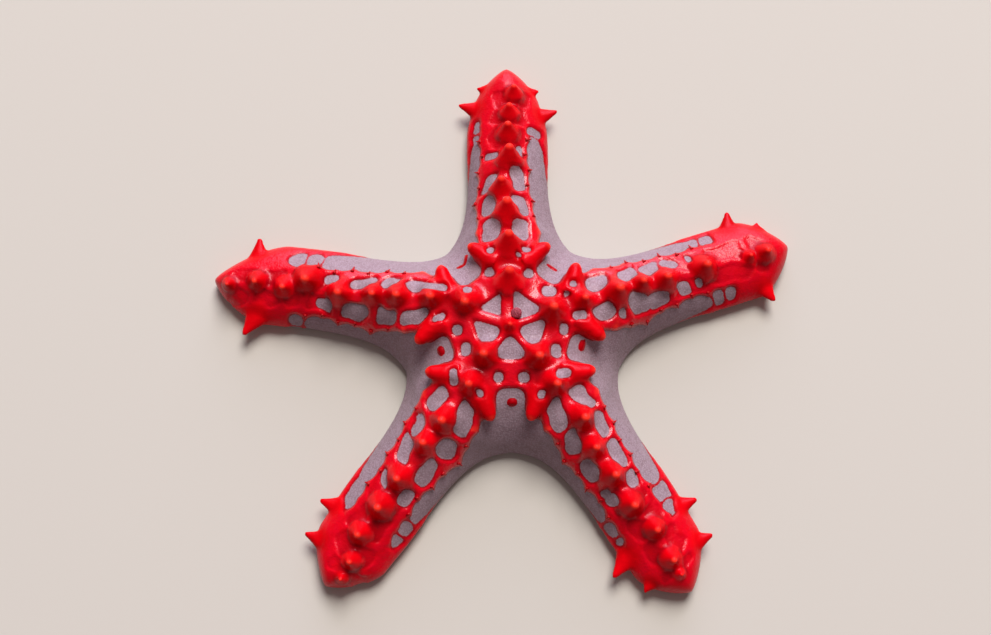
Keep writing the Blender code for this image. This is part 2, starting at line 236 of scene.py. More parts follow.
# The tops of each arm's knobs as (s, t, size), and its horns as (s, side, length).
crest_knobs = {
    "arm_back": ((21, 0, 1), (35.8, 0, 1), (49.4, 0.5, 1.05), (59, 2.6, 0.85), (72.6, -0.6, 0.95),
                 (83, -0.2, 0.8), (91.5, -0.8, 0.7), (100, -2.8, 0.65)),
    "arm_right": ((17.6, 0.6, 1), (30.3, 0.6, 0.8), (44, 0.1, 1.05), (54, 0.5, 0.8), (63.5, -0.6, 0.9),
                  (80, -0.6, 0.95), (98.6, -1.6, 0.5), (105.4, -2, 0.7)),
    "arm_front_right": ((16.8, 1.1, 1), (28.9, 0.1, 0.95), (44.9, 0.8, 1), (55.9, -2.4, 0.85),
                        (68.1, -2.8, 0.95), (81, -4, 0.9), (93.1, -2.6, 0.75), (105.4, -4.6, 0.75),
                        (111.3, -5.2, 0.4)),
    "arm_front_left": ((15.6, -0.9, 1), (27.7, 1.2, 0.9), (44.3, 1.1, 1), (54.8, 0.2, 0.9), (71, 0.2, 0.9),
                       (83.6, 0.8, 0.95), (95.8, 0.6, 0.8), (105.4, 4, 0.68), (112.3, 4.8, 0.45)),
    "arm_left": ((18.5, -2.6, 1), (31.7, -1.3, 1), (44.4, 1.3, 0.95), (53.7, 3, 0.85), (66.5, 6, 0.95),
                 (80.4, 4.2, 1.05), (88.4, 9, 0.75), (99.8, 9.6, 0.7), (110.3, 13.2, 0.5)),
}
edge_horns = {
    "arm_back": ((94, 1, 6), (91, -1, 6), (102.3, 1, 2.2), (101, -1, 2.3)),
    "arm_right": ((97, 1, 4.9), (102, -1, 4.6), (107.5, 1, 1.4)),
    "arm_front_right": ((92, 1, 5.2), (106, 1, 4.7), (95, -1, 7.2), (107.5, -1, 2.6)),
    "arm_front_left": ((92.5, -1, 5.3), (105.8, -1, 4.8)),
    "arm_left": ((104.5, -1, 5.8), (97.8, 1, 7.1)),
}
# How each arm's knobs lean: out along the arm, and to its left.
knob_lean = {"arm_back": (0.5, 0.0), "arm_right": (0.1, 0.0), "arm_front_right": (0.24, 0.0),
             "arm_front_left": (0.24, 0.0), "arm_left": (0.0, 0.25)}
finger_root, finger_tip, finger_radius = (27.0, 7.0), (32.5, 15.8), 4.6
finger_sink, finger_rise = 2.4, 1.6
horn_radius, horn_growth = 3.0, 0.45
horn_inset, horn_lift, horn_aim = 4.2, 1.4, (1.0, 0.28, 0.14)
# Their forms, in shares of length and radius: where the round top starts, how thick it is, how much
# thicker the root is, and how hollow the flank. The last is how flat the growth is pressed.
knob_form, knob_flatness = (0.82, 0.24, 0.82, 1.35), 1.0
finger_form, finger_flatness = (0.72, 0.46, 0.66, 1.2), 1.0
horn_form, horn_flatness = (0.88, 0.17, 0.83, 1.4), 0.62
root_depth, root_spread = 2.0, 1.1
up = Vector((0, 0, 1))
surface = BVHTree.FromBMesh(body)
growths = bmesh.new()


def drop(place):
    """The point of the body's upper side straight below this one."""
    return surface.ray_cast(Vector((place.x, place.y, 2.0 * disc_height)), -up)[0]


def girth(form, x):
    """Share of the radius at x of the length: a hollow flank, and a round top from its start."""
    top_start, top_girth, root_gain, hollow_power = form
    round_top = math.sqrt(max(1.0 - (max(x - top_start, 0.0) / (1.0 - top_start)) ** 2, 0.0))
    return (top_girth + root_gain * (1.0 - x) ** hollow_power) * max(round_top, 0.03)


def join_rings(mesh, rings):
    """Skins a closed shape over rings of points. Its faces look outward where the rings run up."""
    mesh.faces.new(rings[0][::-1])
    mesh.faces.new(rings[-1])
    for low, high in zip(rings, rings[1:]):
        for k in range(len(low)):
            after = (k + 1) % len(low)
            mesh.faces.new((low[k], low[after], high[after], high[k]))


def add_turned(form, flatness, radius, length, foot, direction, sides=20, steps=14):
    """Adds a closed shape that stands on foot, with its root sunk below it. flatness presses it level."""
    level = up.cross(direction).normalized() if direction.z < 0.999 else Vector((1, 0, 0))
    upright = direction.cross(level)
    shares = [math.sin(0.5 * math.pi * k / steps) for k in range(steps + 1)]
    profile = [(radius * girth(form, 0.0) * root_spread, -root_depth)]
    profile += [(radius * girth(form, x), x * length) for x in shares]
    rings = []
    for r, height in profile:
        turns = [2.0 * math.pi * k / sides for k in range(sides)]
        rings.append([growths.verts.new(foot + direction * height + level * r * math.cos(a)
                                        + upright * r * flatness * math.sin(a)) for a in turns])
    join_rings(growths, rings)


knobs, fingers, horns = [], [], []
middle_foot = Vector((mouth.x, mouth.y, disc_height - middle_knob_sink))
knobs.append((middle_foot, up, middle_knob_radius, middle_knob_height))
for name, arm in arms.items():
    outward, across = ways(arm["bearing"])
    aim = (up + outward * knob_lean[name][0] + across * knob_lean[name][1]).normalized()
    for s, t, size in crest_knobs[name]:
        top = world(arm, s, t - swing(arm, s), 0.0)
        knobs.append((drop(top - aim * knob_height * size), aim, knob_radius * size, knob_height * size))
    for side in (-1, 1):
        root = drop(world(arm, finger_root[0], side * finger_root[1], 0.0)) - up * finger_sink
        tip = world(arm, finger_tip[0], side * finger_tip[1], 0.0)
        tip.z = root.z + finger_rise
        reach = tip - root
        fingers.append((root, reach.normalized(), finger_radius, reach.length))
    for s, side, length in edge_horns[name]:
        edge = half_width(arm, s, *axil_beside(name, side))
        aim_out = (across * side * horn_aim[0] + outward * horn_aim[1] + up * horn_aim[2]).normalized()
        inset = min(horn_inset, 1.2 + 0.5 * length)
        foot = world(arm, s, side * edge, rim_height + horn_lift) - aim_out * inset
        horns.append((foot, aim_out, horn_radius + horn_growth * length, length + inset))
for group, form, flatness in ((knobs, knob_form, knob_flatness), (horns, horn_form, horn_flatness),
                              (fingers, finger_form, finger_flatness)):
    for foot, direction, radius, length in group:
        add_turned(form, flatness, radius, length, foot, direction)

# ------------------------------------------------------------
# One skin over all of it. The plates and their outgrowths are covered by one living skin with no seam,
# so body and growths are fused by a voxel remesh, and its small steps are evened out.

voxel, corner_fill = 0.62, 0.6
growths_data = bpy.data.meshes.new("growths")
growths.to_mesh(growths_data)
body.from_mesh(growths_data)
bmesh.ops.recalc_face_normals(body, faces=body.faces)
for vert in body.verts:
    vert.co *= MM
raw_data = bpy.data.meshes.new("raw_body")
body.to_mesh(raw_data)


def put_in_scene(name, data):
    """An object of this name with this data, in the scene."""
    thing = bpy.data.objects.new(name, data)
    bpy.context.scene.collection.objects.link(thing)
    return thing


def settled_mesh(thing):
    """A new mesh of this object as its modifiers leave it."""
    bpy.context.view_layer.update()
    return bpy.data.meshes.new_from_object(thing.evaluated_get(bpy.context.evaluated_depsgraph_get()))


raw = put_in_scene("raw_body", raw_data)
fuse = raw.modifiers.new("fuse", "REMESH")
fuse.mode = "VOXEL"
fuse.voxel_size = voxel * MM
fuse.adaptivity = 0.00001
skin_data = settled_mesh(raw)
bpy.data.objects.remove(raw)

# The skin's points as arrays, in millimetres.
count = len(skin_data.vertices)
flat = np.empty(count * 3)
skin_data.vertices.foreach_get("co", flat)
co = flat.reshape(-1, 3) / MM
pairs = np.empty(len(skin_data.edges) * 2, np.int64)
skin_data.edges.foreach_get("vertices", pairs)
pairs = pairs.reshape(-1, 2)
degree = np.bincount(pairs.ravel(), minlength=count).astype(float)


def spread(values, steps):
    """Evens values out over neighbouring points of the skin, by each step's share in turn."""
    columns = values.reshape(count, -1)
    for share in steps:
        total = np.stack([
            np.bincount(pairs[:, 0], columns[pairs[:, 1], k], count)
            + np.bincount(pairs[:, 1], columns[pairs[:, 0], k], count) for k in range(columns.shape[1])
        ], axis=1)
        columns = columns + share * (total / degree[:, None] - columns)
    return columns.reshape(values.shape)


# Each pull inward is followed by a push outward, so the small steps go and the form keeps its size.
co = spread(co, (0.5, -0.52) * 3 + (0.4,))


def skin_normals(places):
    """The skin's outward directions at these places, evened out a little."""
    skin_data.vertices.foreach_set("co", (places * MM).ravel())
    skin_data.update()
    found = np.empty(count * 3, np.float32)
    skin_data.vertices.foreach_get("normal", found)
    return spread(found.reshape(-1, 3).astype(float), (0.5,) * 3)


# The skin bridges the hollow corner at the foot of each growth, and leaves the rounded forms as they are.
for _ in range(3):
    out_of_body = skin_normals(co)
    hollow = ((spread(co, (0.5,) * 14) - co) * out_of_body).sum(axis=1)
    filled = np.clip(hollow - 0.01, 0.0, corner_fill) * smooth((co[:, 2] - 1.0) / 2.0)
    co = co + out_of_body * filled[:, None]

# ------------------------------------------------------------
# The markings: a raised red network over soft grey skin. The red follows the plates: a crest along
# each arm, a line along each shoulder, bars between them and a ring of plates on the disc. Between
# them lie windows of bare grey skin, through which the animal breathes.

# The bare windows beside each crest, as (s, t, half length, half width, slant).
crest_windows = {
    "arm_back": ((39, 7.2, 4.2, 3.7, 0), (49.2, 8.3, 3.9, 3.0, 0), (59.6, 7.8, 4.4, 2.2, -0.5),
                 (71, 6.6, 1.6, 2.4, 0), (38.8, -4.8, 4.3, 3.2, 0), (49, -4.5, 4.0, 2.9, 0.3),
                 (60.3, -4.3, 5.0, 2.7, 0.2), (72.2, -5.0, 2.7, 1.9, 0.2)),
    "arm_right": ((37.3, 6, 4.6, 3, 0), (49.9, 6.4, 4.2, 2.9, 0), (59.5, 6.3, 3.8, 2.6, 0),
                  (67.1, 6.3, 3.1, 1.7, -0.5), (74.7, 6.0, 1.3, 1.5, 0), (36.3, -5.7, 4.0, 3.4, 0),
                  (42.7, -8.4, 1.6, 2, 0), (50.6, -6.2, 4.4, 3.8, 0), (58.5, -7.3, 4.2, 2.8, 0),
                  (69.6, -5.8, 2.6, 3.0, 0), (75.9, -4.6, 1.2, 1.8, 0)),
    "arm_front_right": ((37.8, 5.6, 5.6, 3.1, 0.1), (49.6, 5.5, 4.4, 2.7, -0.2), (61.5, 4.4, 5.4, 2.7, -0.1),
                        (72.4, 3.6, 3.6, 2.0, -0.2), (37.4, -6.6, 5.5, 3.1, -0.3),
                        (48.3, -7.9, 4.2, 2.8, -0.35), (60.4, -8.7, 4.8, 2.8, -0.1),
                        (70.4, -8.3, 1.7, 1.6, 0), (74.4, -7.9, 2.4, 2.0, 0)),
    "arm_front_left": ((38, 6.8, 5.8, 3.3, 0.3), (50.3, 7.9, 3.8, 3.2, 0), (61.7, 7.4, 5.4, 2.8, 0.05),
                       (73.7, 6.5, 3, 2.7, 0), (37.7, -5.9, 5.2, 2.9, -0.1), (50.1, -6.1, 4.2, 2.6, 0.25),
                       (59.8, -5.1, 5.0, 2.6, 0.35), (72.7, -5.4, 3.2, 1.3, 0.6)),
    "arm_left": ((36.4, 6.6, 4.6, 2.8, 0.45), (46.6, 8.7, 3.6, 3.0, 0), (59.5, 9.1, 5.1, 2.8, 0),
                 (71.8, 8.1, 3.1, 1.8, -0.5), (92.9, 13.6, 0.9, 0.9, 0), (37.4, -5.6, 5.0, 2.9, 0),
                 (48.5, -4.2, 4, 2.7, 0.25), (59.2, -2.5, 5.4, 2.6, 0.3), (71.4, -2.4, 3, 2.0, 0)),
}
# The bare flanks, left and right: the red bars across them, and where they end, all as s.
flank_bars = {
    "arm_back": (((82,), 88), ((79.5,), 84.5)),
    "arm_right": (((82.4,), 88), ((79.4, 85.2), 89.5)),
    "arm_front_right": (((79.3, 86.9), 92.5), ((79.5, 86), 92)),
    "arm_front_left": (((80.5, 86.5), 93), ((), 91.5)),
    "arm_left": (((78.5,), 84), ((78.4, 84.4), 91)),
}
# How much wider the red rim is beside them, on the left and the right.
rim_gains = {"arm_back": (1.0, 1.6), "arm_right": (0.4, 0.0), "arm_front_right": (0.8, -0.5),
             "arm_front_left": (0.0, 0.6), "arm_left": (-1.0, 1.6)}
# How far each crest has rolled to the left, and where a shoulder line bows out: (s, side, amount).
crest_roll = {"arm_back": 1.6, "arm_right": 0.0, "arm_front_right": -2.3, "arm_front_left": 0.8,
              "arm_left": 2.8}
line_bows = {"arm_back": (52, -1, -0.9), "arm_right": (48, -1, 1.5), "arm_front_left": (51, 1, 2.0)}
# How far apart the joints of the plates lie along a shoulder, and where one of the large joints is.
plate_pitch, large_joint = 6.6, 51.7


def roll_at(name, s):
    """How far to the left the crest has rolled at s."""
    return crest_roll[name] * smooth((s - 36) / 20)


def line_at(name, side, s):
    """How far from the crest the shoulder line runs, on this side of the arm."""
    middle, bow_side, amount = line_bows.get(name, (0, 0, 0))
    bow = amount * np.exp(-(((s - middle) / 12) ** 2)) if side == bow_side else 0.0
    return 12.0 - 2.8 * smooth((s - 40) / 36) + bow


bearing_of = np.arctan2(co[:, 1] - mouth.y, co[:, 0] - mouth.x)
radius_of = np.hypot(co[:, 0] - mouth.x, co[:, 1] - mouth.y)
s_of, t_of, width_of, half_turn_of, roll_of, line_of, rim_gain = np.zeros((7, count))
arm_of = np.zeros(count, int)
for index, (name, arm) in enumerate(arms.items()):
    turned = (bearing_of - math.radians(arm["bearing"]) + math.pi) % (2 * math.pi) - math.pi
    for side in (1, -1):
        half_turn, axil = half_turn_beside(name, side)
        mine = (turned * side >= 0) & (np.abs(turned) <= half_turn)
        s = radius_of[mine] * np.cos(turned[mine])
        s_of[mine] = s
        t_of[mine] = radius_of[mine] * np.sin(turned[mine]) - swing(arm, s)
        width_of[mine] = half_width(arm, np.minimum(s, arm["length"] - 0.01), *axil_beside(name, side))
        half_turn_of[mine] = half_turn
        roll_of[mine] = roll_at(name, s)
        arm_of[mine] = index
        line_of[mine] = line_at(name, side, s)
        rim_gain[mine] = rim_gains[name][0 if side > 0 else 1]


def ripple(points, wavelength, seed):
    """A gentle uneven wave, about -1 to 1, over the given wavelength."""
    draw = np.random.default_rng(seed)
    total = np.zeros(len(points))
    for _ in range(5):
        way = draw.normal(size=3)
        way *= 2 * math.pi / (wavelength * draw.uniform(0.7, 1.4) * np.linalg.norm(way))
        total += np.sin(points @ way + draw.uniform(0, 6.28))
    return total / 2.2


def both(a, b, k=1.0):
    """The smaller of two depths, with the corner rounded over k."""
    h = np.clip(k - np.abs(a - b), 0.0, None) / k
    return np.minimum(a, b) - h * h * k / 4


def either(a, b, k=1.0):
    """The larger of two depths, with the corner rounded over k."""
    return -both(-a, -b, k)


def window(x, y, cx, cy, a, b, slant=0.0, corner=0.84):
    """Depth inside a window with round corners, half sizes a and b: positive inside. slant is dy/dx."""
    round_off = min(a, b) * corner
    dx = np.abs(x - cx) - (a - round_off)
    dy = np.abs(y - cy - slant * (x - cx)) - (b - round_off)
    outside = np.hypot(np.maximum(dx, 0), np.maximum(dy, 0)) + np.minimum(np.maximum(dx, dy), 0)
    return round_off - outside


s_warp = s_of + 0.5 * ripple(co, 8.0, 1)
t_warp = t_of + 0.5 * ripple(co, 7.0, 2)
mirror = np.abs(t_of - roll_of)
flat_x, flat_y = co[:, 0] - mouth.x, co[:, 1] - mouth.y
bare = np.full(count, -9.0)
for index, name in enumerate(arms):
    mine = arm_of == index
    for place in crest_windows[name]:
        bare[mine] = np.maximum(bare[mine], window(s_warp[mine], t_warp[mine], *place))

# On the disc: five petals round the middle knob, held apart by spokes along the arms, and a pair of
# small windows outside each of them, at (x, y, half sizes) from the mouth.
spoke_half = {("arm_back", 1): 3.4, ("arm_left", -1): 3.0}
pair_windows = ((7.4, 21.0, 1.9, 1.8), (14.9, 14.2, 2.7, 2.2), (-7.9, 21.5, 2.0, 1.8),
                (-15.9, 14.0, 2.0, 1.7), (20.5, -1.0, 1.6, 2.1), (17.6, -9.1, 1.9, 2.6),
                (5.1, -19.4, 2.1, 1.9), (-4.2, -19.3, 1.8, 1.9), (-19.9, -1.3, 1.9, 2.0),
                (-16.8, -8.5, 1.8, 2.5))
spoke = np.full(count, 1.5)
for (name, side), width in spoke_half.items():
    spoke[(arm_of == list(arms).index(name)) & (t_of * side > 0)] = width
angle_in = half_turn_of - np.arctan2(np.abs(t_of), s_of)
bay_x, bay_y = radius_of * np.cos(angle_in), radius_of * np.sin(angle_in)
petal = both(both(np.minimum(np.abs(t_of), 9.0) - spoke, radius_of - 4.0, 2.0), 12.6 - bay_x, 2.5)
inner = petal
for place in pair_windows:
    inner = np.maximum(inner, window(flat_x, flat_y, *place))
bare = np.where(s_of < 32, np.maximum(inner, bare), bare)

# The shoulder line, with a point at each joint of its plates, larger at every second one, and outside
# it the bare flank, down to a red band along the rim. Between two arms the flanks join in a bay.
phase = math.pi * (s_of - large_joint) / plate_pitch
scallop = 0.4 * np.abs(np.sin(phase)) ** 0.9 + 0.6 * np.abs(np.sin(phase / 2)) ** 0.9
bare = both(bare, np.where(s_of > 33, line_of - 1.0 - mirror, 9.0), 1.2)
flank = mirror - line_of - 2.1 + 1.8 * scallop - np.clip(31.0 - s_of, 0, None) * 2.0
bay = both(radius_of - 23.4, 5.0 + (radius_of - 26.0) * 0.4 - bay_y, 3.0)
outer = either(flank, np.where(s_of < 50, bay, -9.0), 2.0)
rim_band = (2.4 * smooth((s_of - 58) / 42) + rim_gain * smooth((s_of - 56) / 26)) * (1.25 - 0.5 * scallop)
outer = both(outer, width_of - np.abs(t_of) - rim_band + np.where(s_of < 56, 9.0, 0.0), 1.5)
for index, name in enumerate(arms):
    for side, (bars, end) in zip((1, -1), flank_bars[name]):
        mine = (arm_of == index) & (t_of * side > 0)
        for s in bars:
            outer[mine] = both(outer[mine], np.abs(s_warp[mine] - s) - 0.5, 1.5)
        outer[mine] = both(outer[mine], end - s_warp[mine], 2.0)
bare = np.maximum(bare, outer)


# Red again: the knobs, the fingers and the horns down to their feet, and the pimples in the bays.
def round_distance(growth, foot_share, top_share, power, margin):
    """Distance outside a growth's red, square to its axis. The margin covers all above its foot."""
    foot, direction, radius, length = growth
    away = co - np.array(foot)
    x = away @ np.array(direction)
    off = np.linalg.norm(away - x[:, None] * np.array(direction), axis=1)
    beyond = np.maximum(np.maximum(x - length, -x - 4.0), 0.0)
    share = np.clip(x / length, 0.0, 1.0)
    top_radius = radius * top_share
    side = off - top_radius - (radius * foot_share - top_radius) * (1.0 - share) ** power
    side -= margin * smooth(share / 0.3)
    return np.hypot(np.maximum(side, 0.0), beyond) + np.minimum(side, 0.0)


def tip_share(growth, start):
    """0 below start of the length and 1 at the tip, on this growth alone."""
    foot, direction, _, length = growth
    away = co - np.array(foot)
    near = np.linalg.norm(away, axis=1) < length * 1.3
    return smooth((away @ np.array(direction) / length - start) / (1.0 - start)) * near


# Pimples and short veins in the bays: (x, y) from the mouth, bearing, half sizes along and across it.
pimples = ((27.6, -6.7, -13.7, 1.3, 2.0), (0.8, -28.4, -88.0, 1.6, 1.9), (-26.4, -8.6, -162.0, 1.5, 1.8),
           (16.6, 24.6, 56.0, 0.7, 2.3), (-17.4, 28.4, 84.0, 2.3, 0.65), (-19.2, 25.6, 23.0, 1.7, 0.65))
red = np.full(count, 9.0)
# The lighter tips of the knobs and fingers: partly their own colour, partly a painted highlight.
tips_worn_and_lit = np.zeros(count)
for knob in knobs:
    red = np.minimum(red, round_distance(knob, 0.97, 0.25, 1.5, 0.9))
    tips_worn_and_lit = np.maximum(tips_worn_and_lit, 0.9 * tip_share(knob, 0.77))
# That of the knobs alone tells where their feet are, for the shade painted in the creases round them.
knob_red = red
for finger in fingers:
    red = np.minimum(red, round_distance(finger, 1.12, 0.62, 1.3, 0.5))
    tips_worn_and_lit = np.maximum(tips_worn_and_lit, 0.6 * tip_share(finger, 0.8))
for horn in horns:
    red = np.minimum(red, round_distance(horn, 0.9, 0.3, 1.6, 0.9))
pimple = np.full(count, -9.0)
for x, y, degrees, along, across in pimples:
    angle = math.radians(degrees)
    ahead = (flat_x - x) * math.cos(angle) + (flat_y - y) * math.sin(angle)
    aside = (flat_y - y) * math.cos(angle) - (flat_x - x) * math.sin(angle)
    pimple = np.maximum(pimple, window(ahead, aside, 0.0, 0.0, along, across, corner=0.95))
red = np.minimum(red, -pimple)
bare = both(bare, red, 1.6)

# Small windows that cut into the feet of the knobs and fingers, at (x, y, half sizes) from the mouth.
late_windows = ((-7.5, 30.0, 1.2, 1.5), (6.5, 30.3, 1.5, 1.2), (3.4, 27.6, 0.9, 1.0),
                (-15.9, 14.3, 1.9, 1.5), (24.1, 16.6, 1.6, 1.2), (21.3, 12.5, 1.0, 1.0),
                (26.5, 4.4, 2.9, 1.6), (20.1, -17.7, 2.9, 1.9), (11.7, -26.0, 1.6, 1.6),
                (-11.1, -25.7, 1.4, 1.4), (-21.2, -19.2, 1.5, 3.4), (-26.9, 3.6, 2.6, 1.5, 0.3),
                (-29.6, 15.8, 6.0, 1.4, -0.15))
for place in late_windows:
    bare = np.maximum(bare, window(flat_x, flat_y, *place))
bare = spread(bare, (0.5,) * 2)

# The red plates stand about a millimetre above the bare skin, with rounded edges. Near the tips, where
# all is red, the skin sinks a little on both sides of the crest, between one knob and the next.
relief_height, hollow_depth = 0.9, 0.5
hollows_from, hollow_out, hollow_half = 76.0, 4.6, 3.4
dimples = np.full(count, -9.0)
for index, (name, arm) in enumerate(arms.items()):
    mine = arm_of == index
    for (s, t, _), (next_s, next_t, _) in zip(crest_knobs[name], crest_knobs[name][1:]):
        if next_s > hollows_from:
            middle, half = (s + next_s) / 2, (next_s - s) / 2 - 0.6
            for side in (-1, 1):
                across = (t + next_t) / 2 - swing(arm, middle) + side * hollow_out
                found = window(s_warp[mine], t_warp[mine], middle, across, half, hollow_half)
                dimples[mine] = np.maximum(dimples[mine], found)
upper_side = smooth((co[:, 2] - 2.0) / 2.5)
relief = smooth((0.3 - bare) / 1.7)
dimples = np.minimum(dimples + 0.6 * ripple(co, 6.0, 3), red - 0.4)
drop_in = np.maximum((1.0 - relief) * relief_height, hollow_depth * smooth(dimples / 1.6 + 0.35))
co = co - skin_normals(co) * (drop_in * upper_side)[:, None]
co[:, 2] = np.maximum(co[:, 2], 0.0)
skin_data.vertices.foreach_set("co", (co * MM).ravel())
skin_data.update()

# What the finish needs to know at each point: the film of water lies between the growths and thins out
# along the arms. Shade is painted in as darker skin in the creases round the outer knobs' feet and in the
# hollows, and the pimples are a darker red.
away_from_growths = smooth((red + 1.0) / 3.0)
film = away_from_growths * (1.0 - 0.6 * smooth((s_of - 60.0) / 16.0))
fold_shade_and_pimples = np.exp(-(((knob_red - 0.5) / 0.6) ** 2)) * smooth((s_of - 70.0) / 10.0)
fold_shade_and_pimples = np.maximum(fold_shade_and_pimples * smooth(ripple(co, 5.0, 4) + 0.6), smooth(pimple + 0.5))
# How hollow the form is at each point, for the shade painted darker into its hollows.
painted_hollow_shade = ((spread(co, (0.5,) * 40) - co) * skin_normals(co)).sum(axis=1)
for title, values in (("bare", bare), ("tips_worn_and_lit", tips_worn_and_lit), ("between", away_from_growths), ("film", film),
                      ("painted_hollow_shade", painted_hollow_shade), ("fold_shade_and_pimples", fold_shade_and_pimples)):
    layer = skin_data.attributes.new(title, "FLOAT", "POINT")
    layer.data.foreach_set("value", values.astype(np.float32))

# Where the form is smooth the mesh needs fewer faces, so the skin is thinned to a size that is easy to
# share. It keeps the full skin's directions for its shading, and so looks as smooth.
most_triangles = 198500
skin_data.calc_loop_triangles()
full = put_in_scene("full_skin", skin_data)
thin = full.modifiers.new("thin", "DECIMATE")
thin.ratio = min(most_triangles / len(skin_data.loop_triangles), 1.0)
thinned = settled_mesh(full)
for vert in thinned.vertices:
    vert.co.z = max(vert.co.z, 0.0)
thinned.shade_smooth()
skin_data.shade_smooth()
skin = put_in_scene("skin", thinned)
full.modifiers.clear()
shading = skin.modifiers.new("shading", "DATA_TRANSFER")
shading.object = full
shading.use_loop_data = True
shading.data_types_loops = {"CUSTOM_NORMAL"}
shading.loop_mapping = "POLYINTERP_NEAREST"
skin.data = settled_mesh(skin)
skin.data.name = "skin"
skin.modifiers.clear()
bpy.data.objects.remove(full)


def linear(code):
    """A six-digit sRGB colour as linear values."""
    parts = [int(code[k:k + 2], 16) / 255 for k in (0, 2, 4)]
    return [c / 12.92 if c <= 0.04045 else ((c + 0.055) / 1.055) ** 2.4 for c in parts] + [1.0]


def add(tree, kind, settings=None, out=0, **inputs):
    """Adds a node and gives its output. inputs name its sockets, or give their numbers after an i."""
    node = tree.nodes.new("ShaderNode" + kind)
    for key, value in (settings or {}).items():
        setattr(node, key, value)
    for key, value in inputs.items():
        socket = node.inputs[int(key[1:])] if key[0] == "i" and key[1:].isdigit() else node.inputs[key]
        if isinstance(value, bpy.types.NodeSocket):
            tree.links.new(value, socket)
        else:
            socket.default_value = value
    return node.outputs[out]


def new_finish(name):
    """A new material, its node tree and its shader."""
    finish = bpy.data.materials.new(name)
    finish.use_nodes = True
    return finish, finish.node_tree, finish.node_tree.nodes["Principled BSDF"]


# Living skin, wet from the sea: red over the plates, with painted shade along its edge, in the creases and
# in the hollows, and lighter tips, partly their own colour and partly a painted highlight; grey and grainy
# between them, and cream below, paved with small plates. Its lights are soft and rosy, broken up by wrinkles
# 1.5 mm apart, and clearest where a film of water lies between the knobs.
grain_size, wrinkle_size, mottle_size, cloud_size, paving_size = 0.7, 1.5, 2.5, 9.0, 2.2
smoothstep, rgb = {"interpolation_type": "SMOOTHSTEP"}, {"data_type": "RGBA"}
multiply, multiply_add, maximum = ({"operation": kind} for kind in ("MULTIPLY", "MULTIPLY_ADD", "MAXIMUM"))
wet_skin, tree, shader = new_finish("wet_skin_over_plates")
place = add(tree, "TexCoord", out="Object")
bare_at, tips_worn_and_lit_at, between_at, hollow_shade_at, film_at, fold_shade_and_pimples_at = (
    add(tree, "Attribute", {"attribute_name": title}, out="Fac")
    for title in ("bare", "tips_worn_and_lit", "between", "painted_hollow_shade", "film", "fold_shade_and_pimples"))
grains = add(tree, "TexVoronoi", Vector=place, Scale=1000 / grain_size, out="Distance")
grain_high = add(tree, "MapRange", smoothstep, i0=grains, i1=0.1, i2=0.7, i3=1.0, i4=0.0)
fine = add(tree, "TexNoise", Vector=place, Scale=1000 / grain_size, Detail=2.0, out="Fac")
mottle = add(tree, "TexNoise", Vector=place, Scale=1000 / mottle_size, Detail=4.0, out="Fac")
cloud = add(tree, "TexNoise", Vector=place, Scale=1000 / cloud_size, Detail=3.0, out="Fac")
wrinkles = add(tree, "TexVoronoi", {"feature": "SMOOTH_F1"}, Vector=place, Scale=1000 / wrinkle_size,
               out="Distance")
paving = add(tree, "TexVoronoi", {"feature": "DISTANCE_TO_EDGE"}, Vector=place, Scale=1000 / paving_size,
             out="Distance")

# The edge between red and grey, a little ragged.
ragged = add(tree, "Math", multiply_add, i0=fine, i1=0.5, i2=-0.25)
edge = add(tree, "Math", {"operation": "ADD"}, i0=bare_at, i1=ragged)
grey_share = add(tree, "MapRange", smoothstep, i0=edge, i1=-0.1, i2=0.12)

# Red, deeper in clouds and darker on the pimples, with painted shade in the hollows, in the creases round
# the outer knobs and along its edge, pinker between the knobs, and lighter on their tips, partly their own
# colour and partly a painted highlight.
cloudy = add(tree, "MapRange", i0=cloud, i1=0.3, i2=0.7)
red_hue = add(tree, "Mix", rgb, i0=cloudy, i6=linear("b60006"), i7=linear("dc000c"), out=2)
pink_share = add(tree, "MapRange", i0=mottle, i1=0.3, i2=0.7, i3=0.3, i4=0.9)
pink_share = add(tree, "Math", multiply, i0=pink_share, i1=between_at)
red_hue = add(tree, "Mix", rgb, i0=pink_share, i6=red_hue, i7=linear("cc001c"), out=2)
# Painted shade: the red is darker in the hollows of the form.
hollow_shade_share = add(tree, "MapRange", smoothstep, i0=hollow_shade_at, i1=-0.15, i2=0.5, i4=0.75)
red_hue = add(tree, "Mix", rgb, i0=hollow_shade_share, i6=red_hue, i7=linear("8c0008"), out=2)
# Lighter tips, partly their own colour and partly a painted highlight.
red_hue = add(tree, "Mix", rgb, i0=tips_worn_and_lit_at, i6=red_hue, i7=linear("ff3828"), out=2)
# Painted shade: a dark line along the edge of the red.
edge_shade = add(tree, "MapRange", smoothstep, i0=edge, i1=-0.7, i2=-0.1, i3=0.0, i4=0.6)
# Painted shade in the creases round the outer knobs' feet, and a darker red on the pimples.
fold_shade_mix = add(tree, "Math", multiply, i0=fold_shade_and_pimples_at, i1=0.6)
edge_shade = add(tree, "Math", maximum, i0=edge_shade, i1=fold_shade_mix)
red_hue = add(tree, "Mix", rgb, i0=edge_shade, i6=red_hue, i7=linear("78000a"), out=2)

# Grey, mottled, paler on the grains and with darker specks.
mottled = add(tree, "MapRange", i0=mottle, i1=0.3, i2=0.7)
grey_hue = add(tree, "Mix", rgb, i0=mottled, i6=linear("826d74"), i7=linear("917b84"), out=2)
grey_hue = add(tree, "Mix", rgb, i0=grain_high, i6=grey_hue, i7=linear("9a8790"), out=2)
speck = add(tree, "MapRange", smoothstep, i0=fine, i1=0.62, i2=0.74, i3=0.0, i4=0.5)
grey_hue = add(tree, "Mix", rgb, i0=speck, i6=grey_hue, i7=linear("6f5c63"), out=2)

